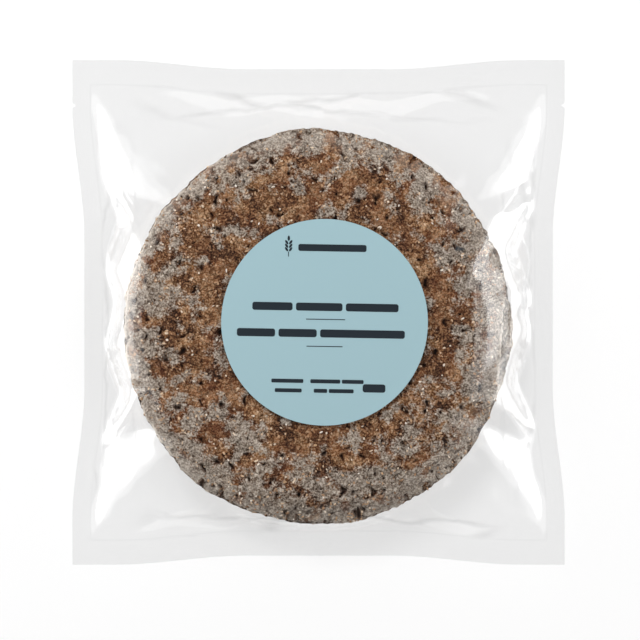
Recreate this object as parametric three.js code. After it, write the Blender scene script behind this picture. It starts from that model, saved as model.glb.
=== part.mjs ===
// A sealed clear pouch that holds a stack of four round flat breads, with a round paper label on top.
// Units are millimetres, +Z is up. The pack lies flat on the stack's underside, label up, with the
// tear notches near the +Y end. The origin is under the middle of the pouch, on the resting plane.
import * as THREE from 'three';

// The pouch: two sheets of clear film, heat-sealed all round.
const BAG_WIDTH = 240; // flat, across X
const BAG_LENGTH = 246; // flat, along Y
const SIDE_SEAL = 8.8; // width of the sealed band at the sides
const END_SEAL = 12; // width of the sealed band at the two ends
const BAND = 0.8; // thickness of the solid along the sealed band

// The contents drag the seals inwards, most in the middle of each edge.
const SIDE_PULL = 5.8;
const END_PULL = 4.4;
const PULL_FULL = 0.3; // share of the half edge that is pulled in fully
const PULL_NONE = 0.82; // share of the half edge where the pull has died out

// The stack of breads, which lies a little off the middle of the pouch.
const BREAD_COUNT = 4;
const BREAD_THICKNESS = 6.5;
const BREAD_RADIUS = 96;
const BREAD_X = -0.6;
const BREAD_Y = -7.2;
const STACK = BREAD_COUNT * BREAD_THICKNESS;
const HALF = STACK / 2;

// The breads thin out towards their rims, so the stack's top and underside round off there.
const SHOULDER_IN = 19; // how far in from the rim that starts
const SHOULDER_DOWN = 7.2; // how far the top has come down at the rim
const SHOULDER_SKEW = 6; // how much farther in it starts at +X
const DOWN_SKEW = 1.3; // how much farther it comes down at +X

// The film between the stack's rim and the seals.
const FACETS = 16; // flat facets around the rim, that run out to the seals and corners
const WALL_SLOPE = 1.3; // the steepest rise of the film from a seal
const CORNER_SLOPE = 0.36; // the rise of the broad folds from the side seals beside each corner
const CORNER_FROM = 0.6; // share of the half length where those folds start
const CORNER_FULL = 0.72; // and where they have their full width
const FOLD_BLEND = 0.5; // how softly one facet bends into the next
const PUCKER = 0.7; // height of the small folds that run in from the seals
const PUCKER_PITCH = 19; // from one small fold to the next
const EDGE_WAVE = 0.9; // rise and fall of the sealed band
const EDGE_WAVE_PITCH = 98;
const CORNER_DROOP = 2.2; // how far the free corners hang below the seam

// The tear notches at both sides.
const NOTCH_FROM_END = 22.4;
const NOTCH_DEPTH = 1.8;
const NOTCH_WIDTH = 2.2;

// The label, on the film over the top bread.
const LABEL_RADIUS = 50;
const LABEL_THICKNESS = 0.3;
const LABEL_GAP = 0.3;
const LABEL_X = 2.9;
const LABEL_Y = -4.8;
const LABEL_SIDES = 72;

// The mesh of the pouch: points along each edge, and rings from the middle of the stack outwards.
const EDGE_STEPS = 32;
const RIM_RINGS = [0.74, 0.81, 0.87, 0.92, 0.96, 1]; // radii, as shares of the breads'
const SLOPE_RINGS = 8;
const SHOULDER_STEPS = 20; // points tried along the shoulder for a facet's slope
const BAND_RINGS = 2;

const mix = (a, b, t) => a + (b - a) * t;
const smooth = (t) => t * t * (3 - 2 * t);
const clampedShare = (value, from, to) => Math.min(1, Math.max(0, (value - from) / (to - from)));

// A minimum that is rounded over about the given distance.
function softMin(a, b, blend) {
  const h = clampedShare(a - b, -blend, blend);
  return mix(a, b, h) - blend * h * (1 - h);
}

// How much of the full pull an edge has at a share u of its half length, from -1 to 1.
const pullShare = (u) => 1 - smooth(clampedShare(Math.abs(u), PULL_FULL, PULL_NONE));

// A point of a rectangle inset from the pouch's flat outline, once its edges are pulled in.
function edgePoint(edge, u, inset) {
  const halfWidth = BAG_WIDTH / 2 - inset * SIDE_SEAL;
  const halfLength = BAG_LENGTH / 2 - inset * END_SEAL;
  if (edge.axis === 'x') return [edge.side * (halfWidth - SIDE_PULL * pullShare(u)), u * halfLength];
  return [u * halfWidth, edge.side * (halfLength - END_PULL * pullShare(u))];
}

// The four edges in turn, counter-clockwise, each from its first corner to just before its last.
const EDGES = [
  { axis: 'x', side: 1, from: -1, to: 1 },
  { axis: 'y', side: 1, from: 1, to: -1 },
  { axis: 'x', side: -1, from: 1, to: -1 },
  { axis: 'y', side: -1, from: -1, to: 1 },
];

// Stations around the outline, with three more for each tear notch: its two lips and its tip.
function stations() {
  const list = [];
  const notchMiddle = 1 - (2 * NOTCH_FROM_END) / BAG_LENGTH;
  const lip = NOTCH_WIDTH / BAG_LENGTH;
  for (const edge of EDGES) {
    const along = [];
    for (let i = 0; i < EDGE_STEPS; i += 1) {
      along.push({ u: mix(edge.from, edge.to, i / EDGE_STEPS), cut: 0 });
    }
    if (edge.axis === 'x') {
      const kept = along.filter((station) => Math.abs(station.u - notchMiddle) > 2 * lip);
      kept.push({ u: notchMiddle - lip, cut: 0 });
      kept.push({ u: notchMiddle, cut: NOTCH_DEPTH });
      kept.push({ u: notchMiddle + lip, cut: 0 });
      kept.sort((a, b) => (a.u - b.u) * Math.sign(edge.to - edge.from));
      along.splice(0, along.length, ...kept);
    }
    for (const station of along) list.push({ edge, ...station });
  }
  return list;
}

// How far the seals' inner line reaches in a direction: the end of every flat facet of the film.
function sealReach(nx, ny) {
  let reach = 0;
  for (const edge of EDGES) {
    for (let u = -1; u <= 1; u += 0.1) {
      const [x, y] = edgePoint(edge, u, 1);
      reach = Math.max(reach, x * nx + y * ny);
    }
  }
  return reach;
}

// Where the stack starts to round off, and how far it comes down, in a direction from its middle.
function shoulder(nx) {
  return {
    start: BREAD_RADIUS - SHOULDER_IN - SHOULDER_SKEW * nx,
    down: SHOULDER_DOWN + DOWN_SKEW * nx,
  };
}

// Height of the stack's top over the seam.
function stackHeight(x, y) {
  const radius = Math.hypot(x - BREAD_X, y - BREAD_Y);
  const { start, down } = shoulder(radius > 0 ? (x - BREAD_X) / radius : 0);
  return HALF - down * clampedShare(radius, start, BREAD_RADIUS) ** 2;
}

// Slope of the straight line that starts at a reach from the stack's middle and grazes its shoulder.
function grazingSlope(nx, reach) {
  const { start, down } = shoulder(nx);
  let slope = 0;
  for (let i = 0; i <= SHOULDER_STEPS; i += 1) {
    const out = i / SHOULDER_STEPS;
    slope = Math.max(slope, (HALF - down * out ** 2) / (reach - mix(start, BREAD_RADIUS, out)));
  }
  return slope;
}

const facets = [];
for (let i = 0; i < FACETS; i += 1) {
  const angle = (2 * Math.PI * i) / FACETS;
  const nx = Math.cos(angle);
  const ny = Math.sin(angle);
  const reach = sealReach(nx, ny);
  facets.push({ nx, ny, reach, slope: grazingSlope(nx, reach - BREAD_X * nx - BREAD_Y * ny) });
}

// Distances from a point to the seals' inner line, square to the side edges and to the end edges.
function insideSeals(x, y) {
  const u = x / (BAG_WIDTH / 2 - SIDE_SEAL);
  const v = y / (BAG_LENGTH / 2 - END_SEAL);
  const side = BAG_WIDTH / 2 - SIDE_SEAL - SIDE_PULL * pullShare(v) - Math.abs(x);
  const end = BAG_LENGTH / 2 - END_SEAL - END_PULL * pullShare(u) - Math.abs(y);
  return { side: Math.max(0, side), end: Math.max(0, end) };
}

// Height of one sheet of film over the seam: it lies on the stack, and runs from its shoulder down
// to the seals in flat facets, the lowest facet counting, with small folds that run in from each seal.
function sheetHeight(x, y) {
  const { side, end } = insideSeals(x, y);
  const corner = smooth(clampedShare(Math.abs(y) / (BAG_LENGTH / 2 - END_SEAL), CORNER_FROM, CORNER_FULL));
  let height = softMin(mix(WALL_SLOPE, CORNER_SLOPE, corner) * side, WALL_SLOPE * end, FOLD_BLEND);
  for (const facet of facets) {
    height = softMin(height, facet.slope * (facet.reach - x * facet.nx - y * facet.ny), FOLD_BLEND);
  }
  const alongX = Math.abs(x) / BAG_WIDTH > Math.abs(y) / BAG_LENGTH;
  const fold = Math.sin((2 * Math.PI * (alongX ? y : x)) / PUCKER_PITCH);
  const free = clampedShare(HALF - height, 0, HALF / 2) * clampedShare(Math.min(side, end), 0, END_SEAL);
  const folded = Math.min(HALF, Math.max(0, height + PUCKER * fold * free));
  const overStack = Math.hypot(x - BREAD_X, y - BREAD_Y) <= BREAD_RADIUS;
  return overStack ? Math.max(folded, stackHeight(x, y)) : folded;
}

// Height of the seam between the sheets: the sealed band waves a little and its corners droop.
function seamHeight(x, y) {
  const u = x / (BAG_WIDTH / 2);
  const v = y / (BAG_LENGTH / 2);
  const fromStack = Math.hypot(x - BREAD_X, y - BREAD_Y) - BREAD_RADIUS;
  const free = smooth(clampedShare(fromStack, 0, END_SEAL));
  const turn = (2 * Math.PI) / EDGE_WAVE_PITCH;
  const wave = Math.cos(turn * x) * v - Math.cos(turn * y) * u;
  return HALF + free * (EDGE_WAVE * wave * (1 - Math.abs(u * v)) - CORNER_DROOP * (u * v) ** 4);
}

// The points of one ring around the pouch, as [x, y].
function ringAt(list, place) {
  return list.map((station) => {
    const inner = edgePoint(station.edge, station.u, 1);
    const outer = edgePoint(station.edge, station.u, 0);
    if (station.cut) outer[0] -= station.edge.side * station.cut;
    const angle = Math.atan2(inner[1] - BREAD_Y, inner[0] - BREAD_X);
    const rim = [BREAD_X + BREAD_RADIUS * Math.cos(angle), BREAD_Y + BREAD_RADIUS * Math.sin(angle)];
    if (place.rim) return [mix(BREAD_X, rim[0], place.rim), mix(BREAD_Y, rim[1], place.rim)];
    if (place.slope) return [mix(rim[0], inner[0], place.slope), mix(rim[1], inner[1], place.slope)];
    return [mix(inner[0], outer[0], place.band), mix(inner[1], outer[1], place.band)];
  });
}

// The pouch with its contents as one closed solid: an upper and a lower sheet on the same rings.
function pouchGeometry() {
  const list = stations();
  const places = RIM_RINGS.map((share) => ({ rim: share }));
  for (let i = 1; i <= SLOPE_RINGS; i += 1) places.push({ slope: i / SLOPE_RINGS });
  for (let i = 1; i <= BAND_RINGS; i += 1) places.push({ band: i / BAND_RINGS });
  const rings = places.map((place) => ringAt(list, place));

  const positions = [];
  const index = [];
  const count = list.length;
  const half = BAND / 2;
  for (const side of [1, -1]) {
    const first = positions.length / 3;
    positions.push(BREAD_X, BREAD_Y, HALF + side * HALF);
    rings.forEach((ring, r) => {
      const sealed = places[r].band || places[r].slope === 1;
      for (const [x, y] of ring) {
        const rise = sealed ? 0 : sheetHeight(x, y);
        positions.push(x, y, seamHeight(x, y) + side * (half + rise * (1 - half / HALF)));
      }
    });
    const face = (a, b, c) => (side > 0 ? index.push(a, b, c) : index.push(a, c, b));
    for (let i = 0; i < count; i += 1) {
      const next = (i + 1) % count;
      face(first, first + 1 + i, first + 1 + next);
      for (let r = 0; r + 1 < rings.length; r += 1) {
        const inner = first + 1 + r * count;
        const outer = inner + count;
        face(inner + i, outer + i, outer + next);
        face(inner + i, outer + next, inner + next);
      }
    }
  }
  const perSheet = positions.length / 6;
  const upper = perSheet - count;
  const lower = upper + perSheet;
  for (let i = 0; i < count; i += 1) {
    const next = (i + 1) % count;
    index.push(upper + i, lower + i, lower + next, upper + i, lower + next, upper + next);
  }
  const geometry = new THREE.BufferGeometry();
  geometry.setAttribute('position', new THREE.Float32BufferAttribute(positions, 3));
  geometry.setIndex(index);
  geometry.computeVertexNormals();
  return geometry;
}

function pouch() {
  const film = new THREE.MeshStandardMaterial({ color: 0xdfe3e4, roughness: 0.1, metalness: 0 });
  const mesh = new THREE.Mesh(pouchGeometry(), film);
  mesh.name = 'pouch';
  return mesh;
}

function label() {
  const disc = new THREE.CylinderGeometry(LABEL_RADIUS, LABEL_RADIUS, LABEL_THICKNESS, LABEL_SIDES);
  disc.rotateX(Math.PI / 2);
  const paper = new THREE.MeshStandardMaterial({ color: 0xa5c3cb, roughness: 0.6, metalness: 0 });
  const mesh = new THREE.Mesh(disc, paper);
  mesh.name = 'label';
  mesh.position.set(LABEL_X, LABEL_Y, STACK + LABEL_GAP + LABEL_THICKNESS / 2);
  return mesh;
}

const pack = new THREE.Group();
pack.add(pouch(), label());
export default pack;
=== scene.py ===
"""Looks for a sealed clear pouch of four round wholemeal pitas with a round paper label.

The film is two flat sheets that are sealed together round the edge. They are first folded into
facets, from the seals up to the stack, and a short relaxation then settles them over the breads.
Lengths are in millimetres and turned to metres by MM, apart from those of the softboxes.
"""
import math

import bpy
import numpy as np
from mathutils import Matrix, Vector


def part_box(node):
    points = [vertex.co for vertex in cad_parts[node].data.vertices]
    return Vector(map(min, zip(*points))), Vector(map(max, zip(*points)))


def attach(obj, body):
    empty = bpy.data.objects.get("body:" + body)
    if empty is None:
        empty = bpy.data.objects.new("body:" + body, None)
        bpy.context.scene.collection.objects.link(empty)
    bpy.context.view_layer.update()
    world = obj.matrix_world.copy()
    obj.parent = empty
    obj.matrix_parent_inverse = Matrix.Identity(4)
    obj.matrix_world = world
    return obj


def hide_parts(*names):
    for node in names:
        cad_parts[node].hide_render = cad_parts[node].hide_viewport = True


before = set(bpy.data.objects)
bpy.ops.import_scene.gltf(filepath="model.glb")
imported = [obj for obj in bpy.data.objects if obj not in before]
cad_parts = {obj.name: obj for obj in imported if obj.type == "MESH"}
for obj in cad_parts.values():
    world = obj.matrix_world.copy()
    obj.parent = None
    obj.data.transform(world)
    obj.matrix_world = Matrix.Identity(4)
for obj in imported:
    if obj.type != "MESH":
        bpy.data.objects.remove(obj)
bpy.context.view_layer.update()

MM = 0.001
CORNERS = ((1, 1), (1, -1), (-1, 1), (-1, -1))

# ---- sizes

# From the frame: the pouch's outline and height, and the label's place.
POUCH_LOW, POUCH_HIGH = (np.array(corner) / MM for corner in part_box("pouch"))
LABEL_LOW, LABEL_HIGH = (np.array(corner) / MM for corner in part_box("label"))
WIDTH, LENGTH, STACK = POUCH_HIGH - POUCH_LOW
HALF = STACK / 2
LABEL_RADIUS = (LABEL_HIGH[0] - LABEL_LOW[0]) / 2
LABEL_X, LABEL_Y = ((LABEL_LOW + LABEL_HIGH) / 2)[:2]

# The sealed bands, and how far the contents drag the seals in, as in the solid.
SIDE_SEAL = 8.8
END_SEAL = 12.0
SIDE_PULL = 5.8
END_PULL = 4.4
PULL_FULL, PULL_NONE = 0.30, 0.82
SEAL_X, SEAL_Y = WIDTH / 2 - SIDE_SEAL, LENGTH / 2 - END_SEAL  # the seals' inner line, when flat
NOTCH_FROM_END = 22.4
NOTCH_DEPTH = 1.8
NOTCH_REACH = 4.0  # how far in from the side edge a notch draws the film

# The stack of breads.
BREAD_COUNT = 4
BREAD_RADIUS = 96.0
BREAD_X, BREAD_Y = -0.6, -7.2
SHOULDER_IN = 19.0  # how far in from the rim the breads start to thin out
SHOULDER_DOWN = 7.2  # how far the stack's top has come down at the rim
SHOULDER_SKEW = 6.0  # how much farther in the rounding starts on the leaning side
DOWN_SKEW = 1.3  # how much farther down it comes there
SKEW_ALONG = (0.96, 0.28)  # the way the stack leans: +X, and a little towards the top end
DRUM = 97.9  # radius that the film is kept outside of
CLEARANCE = 0.35  # between the breads' skin and the film
# Each bread's radii across and along the pouch, and its shift off the middle, from under to top.
BREAD_RADII = ((94.4, 91.6), (94.2, 91.8), (95.6, 91.8), (94.6, 97.0))
BREAD_SHIFTS = ((0.5, 0.6), (-0.9, 0.9), (0.3, 0.2), (0.0, -0.1))
BREAD_SEED, RELIEF_STEP = 11, 0.37  # each bread's rim and relief differ from the last one's
OUTER_CELLS = 288  # cells across the two outer faces, and across the faces between
INNER_CELLS = 120
INNER_RINGS = (0.994, 0.988, 0.98, 0.95, 0.85, 0.6, 0.3)  # reaches of the rings of a bread's plain face
RIM_ROUND = 1.7  # radius of a bread's rounded edge
# The uneven rim: how many waves go round it, and the share of the radius that each adds.
RIM_LOBES = ((2, 0.002), (3, 0.003), (5, 0.003), (8, 0.002), (13, 0.002), (21, 0.0018))
RIM_LOBES += ((37, 0.0014), (61, 0.001), (97, 0.0014), (151, 0.0012))
RIM_FLAT_AT = math.radians(-3)  # the top bread's rim is flattened here, and the next one shows
RIM_FLAT_WIDE = math.radians(17)
RIM_FLAT_SOFT = 1.6  # how steeply the flattening comes in, over half its width
RIM_FLAT_DEEP = 0.03
RIM_UNEVEN = 0.9  # how much a wave's height comes and goes round the rim
RIM_MOST = 1.012  # the most that the waves add up to

# The crust. Meal and flour are finer than this in life, and are drawn as coarse as they need to show.
MEAL_SIZE, MEAL_SHARE = 0.85, 0.30
MEAL_WANDER, MEAL_SHIFT = 1.1, 1.4  # size and strength of what makes the grains uneven
CLUMP_SIZE, CLUMP_SHARE = 2.6, 0.33
SPECK_SIZE, SPECK_SHARE = 0.9, 0.37
GRAIN_HIGH = 0.35
PALE_SIZE, PALE_SHARE = 9.0, 0.35
BARE_TONES = ((0.15, "1E0C04"), (0.36, "6C4227"), (0.54, "A2724A"), (0.83, "D8B088"))
RUDDY_SIZE, RUDDY_MOST, RUDDY_TONE = 17.0, 0.35, "864A2A"
DRIFT_SIZE, DRIFT_GRAIN = 11.0, 0.10
DRIFT_EDGE = (0.555, 0.64)
FLOUR_COVERS = (0.06, 0.88)  # outside a drift and in it
FLOUR_TONES = ((0.08, "52433A"), (0.42, "A09384"), (0.90, "E2D8CC"))
FLOUR_FILLS = 0.45
CRACK_SHADE_SIZE = 6.5
SHADE_TONE = "1A0B04"
CRUST_MARKS = (  # a value kept on the mesh: its range, how much colour it gives at most, the colour
    ("spot", 0.0, 1.0, 1.0, "3C4248"),
    # painted light in a pale flour tone that lifts the steep sides, which the lamps above reach less
    ("edge", 0.05, 0.6, 0.85, "EEE4D8"),
    # painted shade in the pits, slits and pores, darkest in their floors
    ("pit", 0.05, 0.7, 0.75, "44220D"),
    ("pit", 0.6, 1.0, 0.9, "150904"),
)
HOLE_WANDER = 4.5  # how far a hole's outline strays, in its radii
HOLE_LEAST = 0.3  # the smallest hole, as a share of the largest
HOLE_FLOOR = 0.2  # a hole's flat floor, as a share of its radius
SLIT_STRETCH = (1.0, 0.4, 1.0)
PORE_SHADE = 0.75  # how dark a pore's painted shade is, against a pit's
BRAN_TONES = ((0.0, "7A5A40"), (0.35, "B48E6C"), (0.65, "D2AC86"), (0.85, "EFD8BC"), (1.0, "FFF8EE"))
FLAKE_TURNS = (0.5, 0.5, 3.14)  # the most that a flake is turned about each axis
FLAKE_LEAST, FLAKE_MOST = (0.6, 0.45, 0.22), (1.7, 1.0, 0.45)
PLACE_SEED, SPIN_SEED, SIZE_SEED, TONE_SEED = 7, 3, 5, 11

# The film's folds. Slopes are rise over run, lengths are from the seals' inner line.
SHEET_GAP = 0.12  # between the two sheets along the seal
GRID_STEPS = (96, 100)  # cells of the first grid across the pouch and along it
SEAL_POINTS, ARC_POINTS = 41, 60  # along a seal, and over the stack's rounded rim
FACET_TURNS = (6, 42, 66, 88)  # directions of the flat facets round the rim, in degrees from +X
FACET_STRAY = 3.0  # in degrees
FOLD_BLEND = 0.05  # how softly two facets meet
FOLD_AT = 60.0  # from the middle along a side: where a corner's fold ends
FOLD_STRAY = 4.0
FOLD_RISE = 5.0  # how much farther along the facet beside it starts to lift
FOLD_SLANT = 0.4
KNEE_FROM, KNEE_TO = 112.0, 66.0  # along a side: the foot widens from nothing at the corner
WALL_FLAT = 0.32  # slope of the corners' long facets
WALL_LIFT = 0.25
WALL_STEEP = 4.5  # slope of the film that stands up beside the stack
FOOT_NEAR = 8.7  # width of the flat foot beside the stack, and beside the folds
FOOT_FAR = 9.3
FOOT_REACH, FOOT_VARIES = 34.0, (0.8, 1.2)
FOOT_PITCH, FOOT_LEAST = 46.0, 0.4
FOOT_SLOPE = -0.02
END_FLAT = 0.30
END_STEEP = 0.75
END_FOOT = 3.0
END_PITCH = 52.0
SHEET_SEED = 5
BOTH_SHEETS = np.array([1.0, -1.0])[:, None, None]  # the upper sheet's way and the lower one's
PINCHES = (  # ridges pinched up in the upper sheet: both ends, height and half width
    ((86, 50), (69, 14), 1.5, 4.5),
    ((80, 36), (92, 26), 0.9, 3.0),
    ((-85, 34), (-92, -16), 0.7, 3.5),
    ((-80, -62), (-88, -40), 0.8, 3.5),
    ((60, -86), (52, -100), 1.2, 4.0),
    ((-20, 96), (14, 91), 0.8, 3.0),
)

# The film's settling: rounds and bending stiffness on the first grid and on the finer one.
MID_ROUNDS, MID_BEND = 40, 0.0005
FINE_ROUNDS, FINE_BEND = 30, 0.0003
SEAL_BEND = 0.015  # the welded bands are stiffer
BENDS = 3  # bending steps a round
REST_MIX = 0.05  # how far the rest lengths go from the draped ones to the flat ones
FILM_PRESS = 0.004  # a round's push on to the breads, and round them
FILM_SUCK = 0.003
PRESSED_SHARE = 0.9  # how much of the breads' radius is pressed on to
SMOOTHINGS = 8  # passes over the settled sheets, which take out the grid's own jags
WRINKLE_PITCH, WRINKLE_VARIES = 14.0, (0.7, 1.6)
WRINKLE_HIGH = 0.06
WRINKLE_WAVES = 24
WRINKLE_LAG = 2.5  # between the two sheets' waves, as an angle

# The film's surface: the share of light it mirrors straight on, its weld line and its fine creases.
MIRRORED = 0.077
GLARE_POWER = 3.6  # how late the mirrored share grows as the view comes aslant
FILM_ROUGH = 0.12
FILM_TINT, CREASE_TINT = "FDFDFD", "F5F5F5"
WELD_LINE, WELD_SHOWN = 0.55, 0.22  # the line's half width, and how strongly it is tinted
CREASE_PITCH = 14.0
CREASE_STRETCH = 0.16
CREASE_WIDTH = 1.3
CREASE_HIGH = 0.11
CREASE_WANDER = 16.0
CREASE_SHIFT = 7.0
# Where the film is slack enough to crease: distances from where that starts to where it is full.
SLACK_MOST = 0.6  # along the sides, against 1 along the ends
SLACK_OFF_SIDE, SLACK_OFF_END = (24, 8), (20, 6)
SLACK_FROM_END, SLACK_FROM_SIDE = (12, 36), (16, 40)
SLACK_PAST_RIM = 6
SLACK_WELD = 1.5

# The label and its print: word bars as (middle x, middle y, height, word lengths), thin rules, an ear.
LABEL_PAPER, LABEL_GAP, LABEL_SIDES = 0.18, 0.03, 160
LABEL_ROUND = 1  # how far round the label the film is kept under it
LABEL_TURN = 1.0  # degrees clockwise
LABEL_TONE, INK_TONE = "A7C7CF", "1A252E"
INK, INK_GAP = 0.03, 0.01
WORD_GAP, WORD_CORNER = 0.42, 0.3  # shares of a bar's height
RULE_HIGH, RULE_CORNER = 0.45, 0.2
PRINT_LINES = (
    (3.2, 36.0, 3.4, (33.0,)),
    (0.3, 7.4, 3.9, (19.5, 22.5, 25.5)),
    (-1.7, -5.4, 3.9, (18.5, 18.5, 41.0)),
    (-17.5, -28.6, 1.9, (15.5,)),
    (-17.0, -33.2, 1.9, (13.0,)),
    (6.5, -28.6, 1.9, (14.5, 10.5)),
    (5.0, -33.2, 1.9, (6.5, 12.0)),
    (24.5, -31.6, 4.0, (11.0,)),
)
PRINT_RULES = ((0.5, 1.4, 19.0), (0.2, -11.7, 17.5))
PRINT_EAR = (-18.0, 34.0)
EAR_ROWS, EAR_PITCH, EAR_APART = 3, 1.7, 0.25
EAR_GRAIN, EAR_LEAN = (2.5, 1.15), 0.62
EAR_TIP, EAR_TIP_UP = (2.7, 1.2), 5.0
EAR_STALK, EAR_STALK_CORNER, EAR_STALK_DOWN = (0.4, 2.4), 0.15, 1.3
EAR_POINTS, EAR_BLUNT = 16, 0.4
BAR_TURN = 15  # degrees between the points of a bar's outline

# The camera, and the width of what it takes in.
CAMERA_LENS = 200
CAMERA_SENSOR = 36
CAMERA_FIELD = 312.0
CAMERA_AIM = (0.7, -3.7)

# The light. Softboxes are in metres, and FROM and TO are angles from straight up, in degrees.
BOX_AWAY = 0.9
SIDE_WIDE = 0.52
HIGH_FROM, HIGH_LIGHT = 22, 0.95
SIDE_FROM, SIDE_TO, SIDE_LIGHT = 40, 86, 3.6
VEIL_FROM, VEIL_TO, VEIL_LIGHT, VEIL_WIDE = 40, 56, 5.2, 0.38
END_PLACE, END_SIZE, END_LIGHT = (0, 0.95, 0.52), (0.9, 0.5), 0.9
KEY_PLACE, KEY_SIZE, KEY_LIGHT = (-0.4, 0.75, 0.85), (0.35, 0.35), 17.0
ROOM_LIGHT = 0.04
GROUND_HALF = 3000
GROUND_GLOW = 0.70
GROUND_ALBEDO = 0.32
WHITE = (1, 1, 1, 1)


def hex_colour(text):
    """An sRGB hex value as linear light, for a shader's socket."""
    channels = [int(text[i : i + 2], 16) / 255 for i in (0, 2, 4)]
    linear = [c / 12.92 if c <= 0.04045 else ((c + 0.055) / 1.055) ** 2.4 for c in channels]
    return (*linear, 1.0)


def add_node(tree, kind, inputs=None, **settings):
    """Adds a node. inputs gives each socket, by name or number, a value or another node's output."""
    made = tree.nodes.new(kind)
    for name, value in settings.items():
        setattr(made, name, value)
    for key, value in (inputs or {}).items():
        socket = made.inputs[key]
        if isinstance(value, bpy.types.NodeSocket):
            tree.links.new(value, socket)
        else:
            socket.default_value = value
    return made


def maths(tree, operation, a, b=0.0, c=0.0):
    """One step of arithmetic on up to three numbers."""
    return add_node(tree, "ShaderNodeMath", {0: a, 1: b, 2: c}, operation=operation).outputs[0]


def vectors(tree, operation, a, b=(0, 0, 0), c=(0, 0, 0), scale=1.0):
    """One step of arithmetic on up to three vectors."""
    sockets = {0: a, 1: b, 2: c, 3: scale}
    made = add_node(tree, "ShaderNodeVectorMath", sockets, operation=operation)
    return made.outputs["Value" if operation in ("DISTANCE", "LENGTH") else "Vector"]


def ranged(tree, value, low, high, start=0.0, end=1.0, **settings):
    """A value's range from low to high, taken over to the range from start to end."""
    sockets = {0: value, 1: low, 2: high, 3: start, 4: end}
    return add_node(tree, "ShaderNodeMapRange", sockets, **settings).outputs[0]


def fineness(tree, size):
    """A texture's scale for a pattern's size: a number in millimetres, or an input in metres."""
    if isinstance(size, bpy.types.NodeSocket):
        return maths(tree, "DIVIDE", 1.0, size)
    return 1 / (size * MM)


def noise(tree, place, size, detail=2.0, roughness=0.5, output=0):
    """A soft random pattern with features of about the given size."""
    sockets = {"Vector": place, "Scale": fineness(tree, size), "Detail": detail, "Roughness": roughness}
    return add_node(tree, "ShaderNodeTexNoise", sockets).outputs[output]


def cells(tree, place, size, **settings):
    """Outputs of a pattern of scattered cells of about the given size."""
    sockets = {"Vector": place, "Scale": fineness(tree, size)}
    return add_node(tree, "ShaderNodeTexVoronoi", sockets, **settings).outputs


def attribute(tree, name):
    """A value that the mesh keeps by name."""
    return add_node(tree, "ShaderNodeAttribute", attribute_name=name).outputs["Fac"]


def mixed(tree, amount, under, over):
    """A colour with an amount of another over it."""
    sides = {"Factor": amount, "A": under, "B": over}
    return add_node(tree, "ShaderNodeMix", sides, data_type="RGBA").outputs["Result"]


def ramp(tree, value, tones):
    """A colour for a value, from hex colours at places between 0 and 1."""
    made = add_node(tree, "ShaderNodeValToRGB", {0: value})
    stops = made.color_ramp.elements
    while len(stops) < len(tones):
        stops.new(0.5)
    for stop, (place, colour) in zip(stops, tones):
        stop.position = place
        stop.color = hex_colour(colour)
    return made.outputs[0]


# ---- the film's form


def share(value, low, high):
    """How far a value has come from low to high, from 0 to 1."""
    return np.clip((value - low) / (high - low), 0, 1)


def smooth(t):
    """A share from 0 to 1 with soft ends."""
    return t * t * (3 - 2 * t)


def eased(value, low, high):
    """How far a value has come from low to high, with soft ends."""
    return smooth(share(value, low, high))


def pull_share(u):
    """How much of the full pull an edge has at a share u of its half length."""
    return 1 - eased(np.abs(u), PULL_FULL, PULL_NONE)


def from_seals(x, y, pull_width, pull_length):
    """Distances in from the side and end seals, pulled in over the given half width and length."""
    side = SEAL_X - SIDE_PULL * pull_share(y / pull_length) - np.abs(x)
    end = SEAL_Y - END_PULL * pull_share(x / pull_width) - np.abs(y)
    return side, end


def soft_min(a, b, blend):
    """The lower of two heights, rounded where they meet."""
    h = share(a - b, -blend, blend)
    return a + (b - a) * h - blend * h * (1 - h)


def zigzag(value, pitch):
    """A triangle wave between -1 and 1."""
    return 2 * np.abs(2 * ((value / pitch) % 1) - 1) - 1


def shoulder(x, y):
    """How far in the stack's rounding starts, and how far it comes down, towards a place."""
    lean = (x * SKEW_ALONG[0] + y * SKEW_ALONG[1]) / (np.hypot(x, y) + 1e-9)
    return SHOULDER_IN + SHOULDER_SKEW * lean, SHOULDER_DOWN + DOWN_SKEW * lean


def stack_height(x, y):
    """Height of the stack's top over the seam at a place from its middle, rounded off at the rim."""
    inset, down = shoulder(x, y)
    return HALF - down * share(np.hypot(x, y), BREAD_RADIUS - inset, BREAD_RADIUS) ** 2


def shoulder_slope(reach, inset, down):
    """Slope of the straight line from a seal at a reach that grazes the stack's rounded rim."""
    start = BREAD_RADIUS - inset
    out = np.linspace(0, 1, ARC_POINTS)
    return ((HALF - down * out**2) / (reach - start - inset * out)).max()


def seal_line():
    """Points along the seals' inner line, all the way round."""
    along = np.linspace(-1, 1, SEAL_POINTS)
    side_x = SEAL_X - SIDE_PULL * pull_share(along)
    end_y = SEAL_Y - END_PULL * pull_share(along)
    x = np.concatenate([side_x, -side_x, along * SEAL_X, along * SEAL_X])
    y = np.concatenate([along * SEAL_Y, along * SEAL_Y, end_y, -end_y])
    return x, y


def foot(along, rng):
    """Width of the flat film between a side seal and the steep wall, widest beside a corner's fold."""
    place = FOLD_AT + rng.uniform(-FOLD_STRAY, FOLD_STRAY)
    reach = FOOT_REACH * rng.uniform(*FOOT_VARIES)
    knee = share(np.abs(along), KNEE_FROM, KNEE_TO)
    bump = np.clip(1 - np.maximum(0, place - np.abs(along)) / reach, 0, 1)
    ripple = zigzag(along + rng.uniform(0, FOOT_PITCH), FOOT_PITCH) * 0.5 + 0.5
    return knee * (FOOT_NEAR * (FOOT_LEAST + ripple) + (FOOT_FAR - FOOT_NEAR) * bump)


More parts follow.
